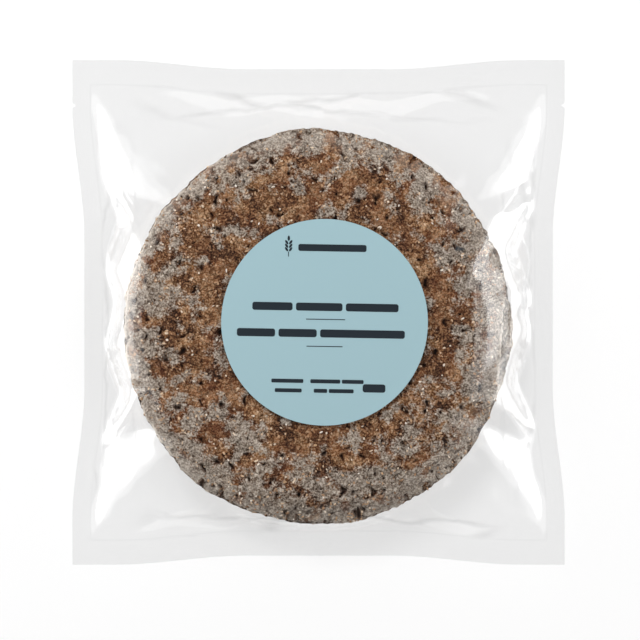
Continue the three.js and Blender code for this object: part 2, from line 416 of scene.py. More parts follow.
def faceted_height(x, y, seed):
    """Height of a taut sheet over the seam: flat facets from the stack's rim to the seals."""
    rng = np.random.default_rng(seed)
    side, end = from_seals(x, y, SEAL_X, SEAL_Y)
    height = np.full(x.shape, HALF)
    for x_side, y_side in CORNERS:
        own_corner = (x * x_side >= 0) & (y * y_side >= 0)
        start = foot(y, rng)
        wall = FOOT_SLOPE * np.minimum(side, start) + WALL_STEEP * np.maximum(0, side - start)
        lift = np.maximum(0, FOLD_AT + FOLD_RISE - FOLD_SLANT * side - np.abs(y))
        facet = WALL_FLAT * side + WALL_LIFT * lift
        start = END_FOOT * (1 + zigzag(x + rng.uniform(0, END_PITCH), END_PITCH))
        brow = END_FLAT * np.minimum(end, start) + END_STEEP * np.maximum(0, end - start)
        corner = soft_min(soft_min(wall, facet, FOLD_BLEND), brow, FOLD_BLEND)
        height = np.where(own_corner, np.minimum(height, corner), height)
    seal_x, seal_y = seal_line()
    for turn in FACET_TURNS:
        for mirror in CORNERS:
            angle = math.radians(turn + rng.uniform(-FACET_STRAY, FACET_STRAY))
            nx, ny = mirror[0] * math.cos(angle), mirror[1] * math.sin(angle)
            reach = (seal_x * nx + seal_y * ny).max() - BREAD_X * nx - BREAD_Y * ny
            slope = shoulder_slope(reach, *shoulder(nx, ny))
            out = (x - BREAD_X) * nx + (y - BREAD_Y) * ny
            height = soft_min(height, slope * (reach - out), FOLD_BLEND)
    return np.maximum(0, height)


def flat_grid(columns, rows):
    """Flat places of the film's grid points, across and along the pouch."""
    return np.linspace(-WIDTH / 2, WIDTH / 2, columns), np.linspace(-LENGTH / 2, LENGTH / 2, rows)


def pinched(x, y):
    """Height that the pinched ridges add."""
    rise = np.zeros(x.shape)
    for start, end, high, half_width in PINCHES:
        run_x, run_y = end[0] - start[0], end[1] - start[1]
        length = math.hypot(run_x, run_y)
        along = share(((x - start[0]) * run_x + (y - start[1]) * run_y) / length**2, 0, 1)
        away = np.hypot(x - start[0] - along * run_x, y - start[1] - along * run_y)
        rise = np.maximum(rise, high * np.clip(1 - away / half_width, 0, 1))
    return rise


def first_sheets():
    """Both sheets as they are first draped: pulled in along the edges and folded into facets."""
    x, y = flat_grid(GRID_STEPS[0] + 1, GRID_STEPS[1] + 1)
    u, v = np.meshgrid(x / x[-1], y / y[-1])
    # The pull dies away inwards from the edges.
    x = u * WIDTH / 2 - u * np.abs(u) ** 2 * SIDE_PULL * pull_share(v)
    y = v * LENGTH / 2 - v * np.abs(v) ** 2 * END_PULL * pull_share(u)
    inside = np.hypot(x - BREAD_X, y - BREAD_Y) < BREAD_RADIUS
    sheets = []
    for side in (1, -1):
        height = faceted_height(x, y, SHEET_SEED + side)
        bread = stack_height(x - BREAD_X, y - BREAD_Y)
        height = np.where(inside, np.maximum(height, bread), height)
        if side > 0:
            height = height + pinched(x, y)
        sheets.append(np.stack([x, y, side * height], -1))
    return np.stack(sheets)


def finer(sheets):
    """The same sheets on a grid twice as fine."""
    for axis in (1, 2):
        points = np.moveaxis(sheets, axis, 0)
        fine = np.empty((2 * len(points) - 1, *points.shape[1:]))
        fine[::2] = points
        fine[1::2] = (points[:-1] + points[1:]) / 2
        sheets = np.moveaxis(fine, 0, axis)
    return sheets


def distance(a, b):
    """How far apart the points of two sets are."""
    return np.sqrt(((b - a) ** 2).sum(-1, keepdims=True))


def pull_together(a, b, rest):
    """Moves two sets of points to their resting distance. a and b are views of the sheets."""
    step = 0.5 * (1 - rest / (distance(a, b) + 1e-12)) * (b - a)
    a += step
    b -= step


def neighbours(sheets):
    """Pairs of views of neighbouring points: along, across and both ways aslant."""
    pairs = []
    for s in (0, 1):
        pairs.append((sheets[:, :, s:-1:2], sheets[:, :, s + 1 :: 2]))
        pairs.append((sheets[:, s:-1:2], sheets[:, s + 1 :: 2]))
    for i in (0, 1):
        lower, upper = sheets[:, i:-1:2], sheets[:, i + 1 :: 2]
        for j in (0, 1):
            pairs.append((lower[:, :, j:-1:2], upper[:, :, j + 1 :: 2]))
            pairs.append((lower[:, :, j + 1 :: 2], upper[:, :, j:-1:2]))
    return pairs


def bend_force(sheets):
    """The plate's bending: the Laplacian of the Laplacian over the grid."""
    force = sheets
    for _ in range(2):
        bent = np.zeros_like(force)
        bent[:, 1:-1] += force[:, :-2] + force[:, 2:] - 2 * force[:, 1:-1]
        bent[:, :, 1:-1] += force[:, :, :-2] + force[:, :, 2:] - 2 * force[:, :, 1:-1]
        force = bent
    return force


def keep_off_stack(sheets):
    """Pushes points out of the rounded drum that the stack of breads makes, the shortest way."""
    x, y, z = sheets[..., 0] - BREAD_X, sheets[..., 1] - BREAD_Y, sheets[..., 2]
    radius = np.hypot(x, y) + 1e-9
    side = BOTH_SHEETS
    below, inwards = stack_height(x, y) - side * z, DRUM - radius
    within = (below > 0) & (inwards > 0)
    lift = within & (below < inwards)
    sheets[..., 2] = np.where(lift, z + side * below, z)
    grow = np.where(within & ~lift, DRUM / radius, 1.0)
    sheets[..., 0] = BREAD_X + x * grow
    sheets[..., 1] = BREAD_Y + y * grow


def wrinkles(columns, rows, spacing, seed):
    """A smooth random height over a grid, with features about the given spacing apart."""
    rng = np.random.default_rng(seed)
    x, y = flat_grid(columns, rows)
    total = np.zeros((2, rows, columns))
    for _ in range(WRINKLE_WAVES):
        turn, phase = rng.uniform(0, 2 * math.pi, 2)
        pitch = spacing * rng.uniform(*WRINKLE_VARIES)
        wave = 2 * math.pi / pitch * (x[None, :] * math.cos(turn) + y[:, None] * math.sin(turn)) + phase
        total += np.stack([np.sin(wave), np.sin(wave + WRINKLE_LAG)]) / math.sqrt(WRINKLE_WAVES / 2)
    return total


def relax(sheets, rounds, stiffness):
    """Lets both sheets settle: the film keeps its length, bends, and lies on the breads."""
    rows, columns = sheets.shape[1:3]
    flat_x, flat_y = flat_grid(columns, rows)
    past_side, past_end = np.abs(flat_x) > SEAL_X - 1e-6, np.abs(flat_y) > SEAL_Y - 1e-6
    sealed = past_side[None, :] | past_end[:, None]
    border = np.zeros((rows, columns), bool)
    border[[0, -1]] = True
    border[:, [0, -1]] = True
    held = sheets[:, border].copy()
    pairs = neighbours(sheets)
    flat_pairs = neighbours(np.stack([np.stack(np.meshgrid(flat_x, flat_y), -1)] * 2))
    rests = []
    for (a, b), (flat_a, flat_b) in zip(pairs, flat_pairs):
        draped = distance(a, b)
        rests.append(draped + REST_MIX * (distance(flat_a, flat_b) - draped))
    rough = WRINKLE_HIGH * wrinkles(columns, rows, WRINKLE_PITCH, rows)
    sheets[..., 2] += rough * (np.abs(sheets[..., 2]) > 0)
    bend = np.where(sealed, SEAL_BEND, stiffness)[None, :, :, None]
    for _ in range(rounds):
        for (a, b), rest in zip(pairs, rests):
            pull_together(a, b, rest)
        for _ in range(BENDS):
            sheets -= bend * bend_force(sheets)
        from_middle = np.hypot(sheets[..., 0] - BREAD_X, sheets[..., 1] - BREAD_Y)
        over = from_middle < PRESSED_SHARE * BREAD_RADIUS
        sheets[..., 2] -= np.where(over, FILM_PRESS, FILM_SUCK) * BOTH_SHEETS
        sheets[:, sealed] = (sheets[0, sealed] + sheets[1, sealed]) / 2
        sheets[:, border] = held
        keep_off_stack(sheets)
    return sheets


def cut_notches(sheets):
    """Draws the side edges in at the two tear notches."""
    rows, columns = sheets.shape[1:3]
    flat_x, flat_y = flat_grid(columns, rows)
    row = np.abs(flat_y - (LENGTH / 2 - NOTCH_FROM_END)).argmin()
    near = share(WIDTH / 2 - np.abs(flat_x), NOTCH_REACH, 0)
    sheets[:, row, :, 0] -= np.sign(flat_x) * NOTCH_DEPTH * near


def drape():
    """Both sheets of film, in millimetres from the middle of the seam."""
    sheets = relax(first_sheets(), MID_ROUNDS, MID_BEND)
    sheets = relax(finer(sheets), FINE_ROUNDS, FINE_BEND)
    for _ in range(SMOOTHINGS):
        around = sheets[:, :-2, 1:-1] + sheets[:, 2:, 1:-1] + sheets[:, 1:-1, :-2] + sheets[:, 1:-1, 2:]
        sheets[:, 1:-1, 1:-1] = (sheets[:, 1:-1, 1:-1] + around / 4) / 2
    cut_notches(sheets)
    return sheets


def grid_quads(index):
    """The corners of every cell of a grid of point numbers."""
    return np.stack([index[:-1, :-1], index[:-1, 1:], index[1:, 1:], index[1:, :-1]], -1).reshape(-1, 4)


def grid_rim(index):
    """The point numbers all the way round a grid's edge."""
    return np.concatenate([index[0, :-1], index[:-1, -1], index[-1, :0:-1], index[:0:-1, 0]])


def film_faces(rows, columns):
    """Quads of both sheets, joined along the outer edge into one thin closed skin."""
    index = np.arange(rows * columns).reshape(rows, columns)
    upper = grid_quads(index)
    lower = upper[:, ::-1] + rows * columns
    loop = grid_rim(index)
    after = np.roll(loop, -1)
    edge = np.stack([loop, loop + rows * columns, after + rows * columns, after], -1)
    return np.concatenate([upper, lower, edge])


# ---- mesh helpers


def new_object(name, data):
    """An object in the scene that shows the given data."""
    made = bpy.data.objects.new(name, data)
    bpy.context.scene.collection.objects.link(made)
    return made


def mesh_object(name, points_mm, faces, material, soft=True):
    """A piece from points in millimetres, at the origin."""
    mesh = bpy.data.meshes.new(name)
    mesh.from_pydata((np.asarray(points_mm) * MM).tolist(), [], [list(map(int, f)) for f in faces])
    mesh.polygons.foreach_set("use_smooth", [soft] * len(mesh.polygons))
    mesh.update()
    piece = new_object(name, mesh)
    if material:
        mesh.materials.append(material)
    return piece


# ---- materials


def new_material(name):
    """An empty material and its node tree."""
    material = bpy.data.materials.new(name)
    material.use_nodes = True
    tree = material.node_tree
    tree.nodes.clear()
    return material, tree


def finished(material, tree, colour, roughness, sockets=None):
    """A material that ends in one Principled surface."""
    sockets = {"Base Color": colour, "Roughness": roughness, **(sockets or {})}
    bsdf = add_node(tree, "ShaderNodeBsdfPrincipled", sockets)
    add_node(tree, "ShaderNodeOutputMaterial", {"Surface": bsdf.outputs[0]})
    return material


def blended(tree, amount, under, over):
    """A shader with an amount of another over it."""
    shaders = {0: amount, 1: under.outputs[0], 2: over.outputs[0]}
    return add_node(tree, "ShaderNodeMixShader", shaders)


def add_creases(tree):
    """Fine creases, as a height and as a bump: thin crooked lines where the film is slack."""
    place = add_node(tree, "ShaderNodeTexCoord").outputs["Object"]
    wander = noise(tree, place, CREASE_WANDER, output="Color")
    bent = vectors(tree, "MULTIPLY_ADD", wander, (CREASE_SHIFT * MM,) * 3, place)
    height = 0.0
    stretches = {"slack_side": (1.0, CREASE_STRETCH, 1.0), "slack_end": (CREASE_STRETCH, 1.0, 1.0)}
    for name, stretch in stretches.items():
        long = vectors(tree, "MULTIPLY", bent, stretch)
        lines = cells(tree, long, CREASE_PITCH, feature="DISTANCE_TO_EDGE", voronoi_dimensions="2D")
        ridge = ranged(tree, lines["Distance"], 0.0, CREASE_WIDTH / CREASE_PITCH, 1.0, 0.0)
        height = maths(tree, "MULTIPLY_ADD", ridge, attribute(tree, name), height)
    bump = {"Strength": 1.0, "Distance": CREASE_HIGH * MM, "Height": height}
    return height, add_node(tree, "ShaderNodeBump", bump).outputs[0]


def clear_film():
    """Clear co-extruded polyamide and polyethylene film: thin, glossy, no bend of the light."""
    material, tree = new_material("clear_pa_pe_film")
    aslant = add_node(tree, "ShaderNodeLayerWeight", {"Blend": 0.5}).outputs["Facing"]
    grazing = maths(tree, "POWER", aslant, GLARE_POWER)
    mirrored = maths(tree, "MULTIPLY_ADD", grazing, 1 - MIRRORED, MIRRORED)
    from_weld = maths(tree, "ABSOLUTE", attribute(tree, "weld"))
    weld = ranged(tree, from_weld, 0.0, WELD_LINE, WELD_SHOWN, 0.0)
    crease, creased = add_creases(tree)
    thick = maths(tree, "MAXIMUM", weld, crease)
    tint = mixed(tree, thick, hex_colour(FILM_TINT), hex_colour(CREASE_TINT))
    through = add_node(tree, "ShaderNodeBsdfTransparent", {"Color": tint})
    gloss = {"Color": WHITE, "Roughness": FILM_ROUGH, "Normal": creased}
    gloss = add_node(tree, "ShaderNodeBsdfGlossy", gloss)
    film = blended(tree, mirrored, through, gloss)
    # The lamps' light goes through untinted, so the film throws no shadow.
    to_lamp = add_node(tree, "ShaderNodeLightPath").outputs["Is Shadow Ray"]
    unseen = add_node(tree, "ShaderNodeBsdfTransparent", {"Color": WHITE})
    shown = blended(tree, to_lamp, film, unseen)
    add_node(tree, "ShaderNodeOutputMaterial", {"Surface": shown.outputs[0]})
    return material


def wholemeal_crust():
    """Baked wholemeal crust: matt, grainy and red brown where it is bare, with flour in grey drifts."""
    material, tree = new_material("floured_wholemeal_crust")
    place = add_node(tree, "ShaderNodeTexCoord").outputs["Object"]
    # The grain: meal, clumps and specks. Noise lies round 0.5, and its range sets the contrast.
    wander = noise(tree, place, MEAL_WANDER, output="Color")
    bent = vectors(tree, "MULTIPLY_ADD", wander, (MEAL_SHIFT * MM,) * 3, place)
    meal = cells(tree, bent, MEAL_SIZE)
    grain = add_node(tree, "ShaderNodeSeparateColor", {0: meal["Color"]}).outputs[0]
    grain = maths(tree, "MULTIPLY", grain, MEAL_SHARE)
    clumps = ranged(tree, noise(tree, place, CLUMP_SIZE, 2.0, 0.7), 0.38, 0.62)
    grain = maths(tree, "MULTIPLY_ADD", clumps, CLUMP_SHARE, grain)
    specks = ranged(tree, noise(tree, place, SPECK_SIZE, 1.0), 0.42, 0.58)
    grain = maths(tree, "MULTIPLY_ADD", specks, SPECK_SHARE, grain)
    # The bare crust, paler in some places and ruddy in others.
    pale = ranged(tree, noise(tree, place, PALE_SIZE, 3.0), 0.36, 0.64)
    patch = maths(tree, "MULTIPLY", grain, 1 - PALE_SHARE)
    patch = maths(tree, "MULTIPLY_ADD", pale, PALE_SHARE, patch)
    ruddy = ranged(tree, noise(tree, place, RUDDY_SIZE), 0.42, 0.62, 0.0, RUDDY_MOST)
    bare = mixed(tree, ruddy, ramp(tree, patch, BARE_TONES), hex_colour(RUDDY_TONE))
    # The flour, in drifts that thicken towards the rim and on the right, where it is partly painted
    # light on the rim and a painted reflection of the film's milky veil.
    drift = maths(tree, "ADD", noise(tree, place, DRIFT_SIZE, 4.0, 0.62), attribute(tree, "rim"))
    drift = maths(tree, "MULTIPLY_ADD", grain, DRIFT_GRAIN, drift)
    flour = ranged(tree, drift, *DRIFT_EDGE, *FLOUR_COVERS)
    crust = mixed(tree, flour, bare, ramp(tree, grain, FLOUR_TONES))
    # Painted shade between the crumbs, in fine cracks and in the crumb relief's hollows, which flour
    # fills in part.
    crack_shade = maths(tree, "SUBTRACT", noise(tree, place, CRACK_SHADE_SIZE, 3.0, 0.6), 0.5)
    crack_shade = ranged(tree, maths(tree, "ABSOLUTE", crack_shade), 0.0, 0.03, 0.8, 0.0)
    shade = ranged(tree, meal["Distance"], 0.45, 0.8, 0.0, 0.6)
    shade = maths(tree, "MAXIMUM", shade, crack_shade)
    crumb = ranged(tree, attribute(tree, "crumb"), 0.5, 1.0, 0.0, 0.7)
    shade = maths(tree, "MAXIMUM", shade, crumb)
    shade = maths(tree, "MULTIPLY", shade, maths(tree, "MULTIPLY_ADD", flour, -FLOUR_FILLS, 1.0))
    crust = mixed(tree, shade, crust, hex_colour(SHADE_TONE))
    for name, low, high, most, tone in CRUST_MARKS:
        amount = ranged(tree, attribute(tree, name), low, high, 0.0, most)
        crust = mixed(tree, amount, crust, hex_colour(tone))
    bump = {"Strength": 0.9, "Distance": GRAIN_HIGH * MM, "Height": grain}
    bump = add_node(tree, "ShaderNodeBump", bump)
    sockets = {"Specular IOR Level": 0.12, "Normal": bump.outputs[0]}
    return finished(material, tree, crust, 0.8, sockets)


def toasted_bran():
    """Flakes of bran and bits of toasted grain: cream, orange and brown, with a slight gloss."""
    material, tree = new_material("toasted_bran_flakes")
    tone = ramp(tree, attribute(tree, "tone"), BRAN_TONES)
    return finished(material, tree, tone, 0.45, {"Specular IOR Level": 0.5})


def label_paper():
    """Coated label paper in pale blue, faintly satin."""
    return finished(*new_material("coated_label_paper"), hex_colour(LABEL_TONE), 0.55)


def navy_ink():
    """Dark blue offset ink, matt, on the label."""
    return finished(*new_material("navy_offset_ink"), hex_colour(INK_TONE), 0.6)


def white_ground():
    """A lit white table: part of its light is its own, so that shadows on it stay soft."""
    glow = {"Emission Color": WHITE, "Emission Strength": GROUND_GLOW}
    return finished(*new_material("white_light_table"), (*(GROUND_ALBEDO,) * 3, 1), 1.0, glow)


# ---- breads


def pita(level, material):
    """A pita at a level from 0 under to 3 on top. Its finer face is away from the stack's middle."""
    rng = np.random.default_rng(BREAD_SEED + level)
    radii, shift = BREAD_RADII[level], BREAD_SHIFTS[level]
    side = 1 if level >= BREAD_COUNT / 2 else -1
    across = OUTER_CELLS if level in (0, BREAD_COUNT - 1) else INNER_CELLS
    lobes = [(k, a, rng.uniform(0, 2 * math.pi)) for k, a in RIM_LOBES]
    flat_deep = RIM_FLAT_DEEP if level == BREAD_COUNT - 1 else 0.0

    def growth(angle):
        """The rim's radius towards an angle, as a share of the plain one."""
        grow = 1
        for waves, high, start in lobes:
            uneven = 1 + RIM_UNEVEN * np.sin((waves % 4 + 2) * angle + 2 * start)
            grow = grow + high * np.cos(waves * angle + start) * uneven
        away = np.abs((angle - RIM_FLAT_AT + math.pi) % (2 * math.pi) - math.pi) / RIM_FLAT_WIDE
        flat_here = smooth(np.clip(RIM_FLAT_SOFT - RIM_FLAT_SOFT * away, 0, 1))
        return np.minimum(grow, RIM_MOST) - flat_deep * flat_here

    def shape(reach, angle, face):
        """Points at a reach from the middle (0) to the rim (1), on the upper (1) or lower (-1) face."""
        flat = BREAD_RADIUS - RIM_ROUND
        run = reach * (flat + RIM_ROUND * math.pi / 2)
        bend = np.clip((run - flat) / RIM_ROUND, 0, math.pi / 2)
        radius = np.where(run < flat, run, flat + RIM_ROUND * np.sin(bend))
        grow = radius / BREAD_RADIUS * growth(angle)
        x = shift[0] + radii[0] * grow * np.cos(angle)
        y = shift[1] + radii[1] * grow * np.sin(angle)
        stack = stack_height(x, y) - CLEARANCE
        middle = stack * (2 * level + 1 - BREAD_COUNT) / BREAD_COUNT
        half = stack / BREAD_COUNT * np.cos(bend)
        return np.stack([BREAD_X + x, BREAD_Y + y, HALF + middle + face * half], -1)

    # A square grid bent into a disc keeps its cells even.
    line = np.linspace(-1, 1, across + 1)
    u, v = np.meshgrid(line, line)
    x, y = u * np.sqrt(1 - v * v / 2), v * np.sqrt(1 - u * u / 2)
    fine = shape(np.hypot(x, y), np.arctan2(y, x), side).reshape(-1, 3)
    index = np.arange(len(fine)).reshape(across + 1, across + 1)
    loop = grid_rim(index)
    turn = np.arctan2(y, x).ravel()[loop]
    rings = [shape(np.full(len(loop), reach), turn, -side) for reach in INNER_RINGS]
    centre = shape(np.zeros(1), np.zeros(1), -side)
    points = np.concatenate([fine, *rings, centre])
    faces = [grid_quads(index)]
    before = loop
    for i in range(len(INNER_RINGS)):
        ring = len(fine) + i * len(loop) + np.arange(len(loop))
        faces.append(np.stack([before, ring, np.roll(ring, -1), np.roll(before, -1)], -1))
        before = ring
    fan = [(a, len(points) - 1, b) for a, b in zip(before, np.roll(before, -1))]
    faces = [tuple(f) for f in np.concatenate(faces)] + fan
    if side < 0:
        faces = [f[::-1] for f in faces]
    return mesh_object(f"pita_{level + 1}", points, faces, material)


def new_tree(name, lengths, numbers):
    """A geometry tree with named inputs, lengths in millimetres, and the outputs of its input node."""
    tree = bpy.data.node_groups.new(name, "GeometryNodeTree")
    face = tree.interface
    face.new_socket("Geometry", in_out="INPUT", socket_type="NodeSocketGeometry")
    for label, value in {**{k: v * MM for k, v in lengths.items()}, **numbers}.items():
        socket = face.new_socket(label, in_out="INPUT", socket_type="NodeSocketFloat")
        socket.default_value = value
    face.new_socket("Material", in_out="INPUT", socket_type="NodeSocketMaterial")
    face.new_socket("Geometry", in_out="OUTPUT", socket_type="NodeSocketGeometry")
    return tree, add_node(tree, "NodeGroupInput").outputs


def end_tree(tree, geometry, material):
    """Ends a geometry tree: instances made real, and the material set."""
    real = add_node(tree, "GeometryNodeRealizeInstances", {"Geometry": geometry}).outputs[0]
    finish = {"Geometry": real, "Material": material}
    finish = add_node(tree, "GeometryNodeSetMaterial", finish)
    add_node(tree, "NodeGroupOutput", {"Geometry": finish.outputs[0]})


def store(tree, geometry, name, value, domain):
    """Keeps a value on the geometry by name."""
    kept = {"Geometry": geometry, "Name": name, "Value": value}
    kind = "GeometryNodeStoreNamedAttribute"
    return add_node(tree, kind, kept, data_type="FLOAT", domain=domain).outputs[0]


def named(parts, **forms):
    """Values by a form's name and the name of its part, such as Pit depth."""
    return {f"{form} {part}": v for form, vs in forms.items() for part, v in zip(parts.split(), vs)}


def crust_relief():
    """The crust's relief as a node tree: swells, lumps, crumb, pits and slits, sunk below the skin."""
    lengths = {
        **named("size depth", Swell=(24, 0.7), Lump=(6, 1.3), Crumb=(1.9, 0.55)),
        **named("spacing radius depth", Pit=(8.5, 2.2, 2.2), Pore=(5.5, 1.0, 0.9)),
        **named("spacing radius", Slit=(15, 1.7), Spot=(34, 2.6)),
        # where more flour lies: towards the rim, as flour and painted light, and on the right, as flour
        # and a painted reflection of the film's veil
        **named("from to", Rim=(55, 95), Drift=(58, 84)),
    }
    numbers = {"Rim least": -0.05, "Rim most": 0.13, "Drift most": 0.05, "Seed": 0.0}
    tree, given = new_tree("crust_relief", lengths, numbers)
    here = add_node(tree, "GeometryNodeInputPosition").outputs[0]
    shift = add_node(tree, "ShaderNodeCombineXYZ", {0: given["Seed"], 2: given["Seed"]}).outputs[0]
    place = vectors(tree, "ADD", here, shift)

    def depth(name, detail):
        """Depth of a soft pattern that goes from 0 to its full depth."""
        lowered = ranged(tree, noise(tree, place, given[f"{name} size"], detail), 0.25, 0.75)
        return maths(tree, "MULTIPLY", lowered, given[f"{name} depth"])

    def holes(name, left_out, stretch=(1.0, 1.0, 1.0)):
        """A share from 0 to 1 inside scattered holes of uneven shape and size."""
        spacing, size = given[f"{name} spacing"], given[f"{name} radius"]
        wander = noise(tree, place, given["Lump size"], 1.5, output="Color")
        wander = vectors(tree, "SUBTRACT", wander, (0.5, 0.5, 0.5))
        wander = vectors(tree, "SCALE", wander, scale=maths(tree, "MULTIPLY", size, HOLE_WANDER))
        warped = vectors(tree, "ADD", place, wander)
        warped = vectors(tree, "MULTIPLY", warped, stretch)
        found = cells(tree, warped, spacing, voronoi_dimensions="2D")
        away = maths(tree, "MULTIPLY", found["Distance"], spacing)
        tint = add_node(tree, "FunctionNodeSeparateColor", {0: found["Color"]}).outputs
        width = maths(tree, "MULTIPLY_ADD", tint[0], 1 - HOLE_LEAST, HOLE_LEAST)
        radius = maths(tree, "MULTIPLY", size, width)
        floor = maths(tree, "MULTIPLY", radius, HOLE_FLOOR)
        inside = ranged(tree, away, floor, radius, 1.0, 0.0, interpolation_type="SMOOTHSTEP")
        return maths(tree, "MULTIPLY", inside, maths(tree, "GREATER_THAN", tint[1], left_out))

    crumb = cells(tree, place, given["Crumb size"])["Distance"]
    pits = maths(tree, "MAXIMUM", holes("Pit", 0.3), holes("Slit", 0.6, SLIT_STRETCH))
    pores = holes("Pore", 0.5)
    low = maths(tree, "ADD", depth("Swell", 1.0), depth("Lump", 3.0))
    for name, form in {"Crumb": crumb, "Pit": pits, "Pore": pores}.items():
        low = maths(tree, "MULTIPLY_ADD", form, given[f"{name} depth"], low)
    # More flour towards the rim and on the right: flour, with painted light on the rim and a painted
    # reflection of the film's veil on the right.
    across = add_node(tree, "ShaderNodeSeparateXYZ", {0: here}).outputs[0]
    flour_and_veil_right = ranged(tree, across, given["Drift from"], given["Drift to"], 0.0, given["Drift most"])
    radius = vectors(tree, "LENGTH", vectors(tree, "MULTIPLY", here, (1, 1, 0)))
    rim = [given[f"Rim {name}"] for name in ("from", "to", "least", "most")]
    rim = maths(tree, "ADD", ranged(tree, radius, *rim), flour_and_veil_right)
    normal = add_node(tree, "GeometryNodeInputNormal").outputs[0]
    upright = add_node(tree, "ShaderNodeSeparateXYZ", {0: normal}).outputs[2]
    upright = maths(tree, "ABSOLUTE", upright)
    marks = {
        # painted shade for the pits, slits and pores
        "pit": maths(tree, "MAXIMUM", pits, maths(tree, "MULTIPLY", pores, PORE_SHADE)),
        "crumb": crumb,
        "spot": holes("Spot", 0.6),
        "rim": rim,
        # how steep the skin is, for the painted light on the sides
        "edge": maths(tree, "SUBTRACT", 1.0, upright),
    }
    geometry = given["Geometry"]
    for name, value in marks.items():
        geometry = store(tree, geometry, name, value, "POINT")
    sunk = vectors(tree, "SCALE", normal, scale=maths(tree, "MULTIPLY", low, -1.0))
    moved = add_node(tree, "GeometryNodeSetPosition", {"Geometry": geometry, "Offset": sunk}).outputs[0]
    end_tree(tree, moved, given["Material"])
    return tree


def bran_scatter():
    """Bran flakes scattered over a crust as a node tree: flat little lumps, each with its own tone."""
    lengths = {"Flake size": 0.72, "Cluster size": 8, "Label radius": 47}
    tree, given = new_tree("bran_scatter", lengths, {"Per square metre": 0.15e6})
    here = add_node(tree, "GeometryNodeInputPosition").outputs[0]
    middle = (LABEL_X * MM, LABEL_Y * MM, STACK * MM)
    away = vectors(tree, "DISTANCE", here, middle)
    clear = maths(tree, "GREATER_THAN", away, given["Label radius"])
    crowd = ranged(tree, noise(tree, here, given["Cluster size"], 3.0), 0.42, 0.68, 0.06, 1.0)
    density = maths(tree, "MULTIPLY", crowd, given["Per square metre"])
    points = {"Mesh": given["Geometry"], "Selection": clear, "Density": density, "Seed": PLACE_SEED}
    points = add_node(tree, "GeometryNodeDistributePointsOnFaces", points).outputs
    ball = {"Radius": given["Flake size"], "Subdivisions": 1}
    ball = add_node(tree, "GeometryNodeMeshIcoSphere", ball).outputs["Mesh"]

    def vary(low, high, seed):
        """Three numbers that differ from flake to flake."""
        sockets = {"Min": low, "Max": high, "Seed": seed}
        return add_node(tree, "FunctionNodeRandomValue", sockets, data_type="FLOAT_VECTOR").outputs[0]

    spin = vary([-turn for turn in FLAKE_TURNS], FLAKE_TURNS, SPIN_SEED)
    turned = {0: points["Rotation"], 1: spin}
    turned = add_node(tree, "FunctionNodeRotateRotation", turned, rotation_space="LOCAL").outputs[0]
    size = vary(FLAKE_LEAST, FLAKE_MOST, SIZE_SEED)
    flakes = {"Points": points["Points"], "Instance": ball, "Rotation": turned, "Scale": size}
    flakes = add_node(tree, "GeometryNodeInstanceOnPoints", flakes).outputs[0]
    tone = {2: 0.0, 3: 1.0, "Seed": TONE_SEED}
    tone = add_node(tree, "FunctionNodeRandomValue", tone, data_type="FLOAT").outputs[1]
    toned = store(tree, flakes, "tone", tone, "INSTANCE")
    end_tree(tree, toned, given["Material"])
    return tree


def bake_tree(piece, tree, settings):
    """Runs a node tree on a piece with the given inputs and keeps the result as its plain mesh."""
    modifier = piece.modifiers.new(tree.name, "NODES")
    modifier.node_group = tree
    for item in tree.interface.items_tree:
        if item.in_out == "INPUT" and item.name in settings:
            modifier[item.identifier] = settings[item.name]
    evaluated = piece.evaluated_get(bpy.context.evaluated_depsgraph_get())
    mesh = bpy.data.meshes.new_from_object(evaluated)
    piece.modifiers.clear()
    piece.data = mesh


# ---- camera, light and ground


def add_camera():
    """A long lens straight above the pack."""
    camera = bpy.data.cameras.new("camera")
    camera.lens = CAMERA_LENS
    camera.sensor_width = CAMERA_SENSOR
    eye = new_object("camera", camera)
    away = CAMERA_FIELD * CAMERA_LENS / CAMERA_SENSOR
    eye.location = Vector((*CAMERA_AIM, HALF + away)) * MM
    bpy.context.scene.camera = eye


def add_softbox(name, place, size, radiance):
    """A white softbox of even radiance that faces the pack."""
    lamp = bpy.data.lights.new(name, "AREA")
    lamp.shape = "RECTANGLE"
    lamp.size, lamp.size_y = size
    lamp.energy = radiance * math.pi * size[0] * size[1]
    box = new_object(name, lamp)
    box.location = place
    box.rotation_euler = (Vector((0, 0, HALF * MM)) - Vector(place)).to_track_quat("-Z", "Y").to_euler()
    return box


def add_side_box(name, side, high, low, radiance, wide=SIDE_WIDE):
    """A softbox at the left or right that spans two angles from straight up, seen from the pack."""
    middle, half = math.radians(high + low) / 2, math.radians(low - high) / 2
    place = (side * BOX_AWAY * math.sin(middle), 0, BOX_AWAY * math.cos(middle))
    return add_softbox(name, place, (wide, 2 * BOX_AWAY * math.tan(half)), radiance)


def add_lights():
    """Boxes that the film mirrors, at both sides and at the top end, and a key light for the breads."""
    for side in (-1, 1):
        high_to, side_from = (SIDE_FROM, SIDE_FROM) if side < 0 else (VEIL_FROM, VEIL_TO)
        add_side_box(f"high_box_{side}", side, HIGH_FROM, high_to, HIGH_LIGHT)
        add_side_box(f"side_box_{side}", side, side_from, SIDE_TO, SIDE_LIGHT)
    add_side_box("veil_box", 1, VEIL_FROM, VEIL_TO, VEIL_LIGHT, VEIL_WIDE)
    add_softbox("end_box", END_PLACE, END_SIZE, END_LIGHT)
    key = add_softbox("key", KEY_PLACE, KEY_SIZE, KEY_LIGHT)
    key.visible_glossy = False
    world = bpy.data.worlds.new("dim_room")
    world.use_nodes = True
    background = world.node_tree.nodes["Background"].inputs
    background["Color"].default_value = WHITE
    background["Strength"].default_value = ROOM_LIGHT
    bpy.context.scene.world = world


